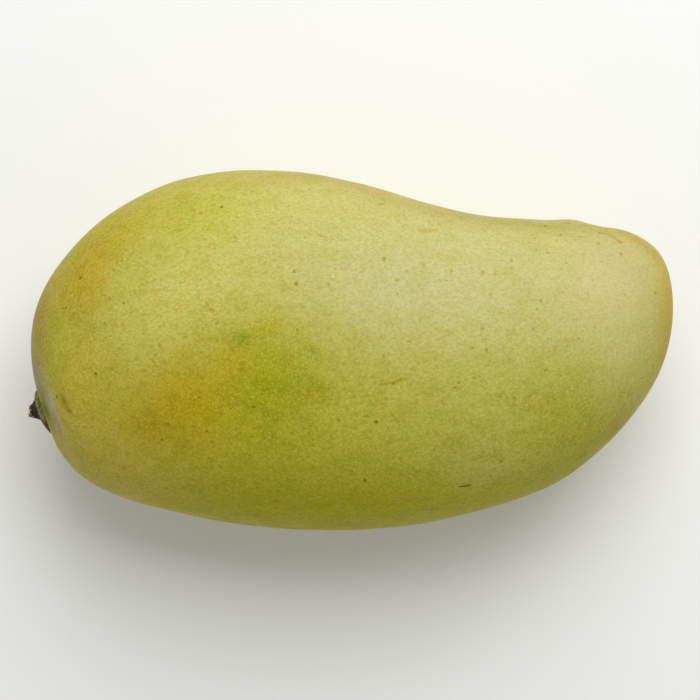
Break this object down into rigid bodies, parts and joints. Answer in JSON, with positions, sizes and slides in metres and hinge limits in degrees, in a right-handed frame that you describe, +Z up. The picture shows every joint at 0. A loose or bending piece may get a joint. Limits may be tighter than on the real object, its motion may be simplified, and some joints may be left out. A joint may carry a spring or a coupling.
{
  "type": "mango",
  "caption": "Whole ripening mango with a full belly, a hollow in front of a low beak, and a short broken stalk, lying on one cheek.",
  "frame": {"origin": "on the surface that the fruit rests on, under the middle of its box", "axes": "+X runs along the fruit from the stalk to the tip, +Y points to the side with the hollow and the beak, +Z is up through the two cheeks"},
  "size_m": [0.1512, 0.0842, 0.067],
  "materials": {
    "skin": "satin waxy skin, green-yellow with fine pores",
    "stalk": "dry dark stub on a green collar"
  },
  "bodies": {
    "root": {"fruit": "skin", "stalk": "stalk"}
  },
  "joints": []
}
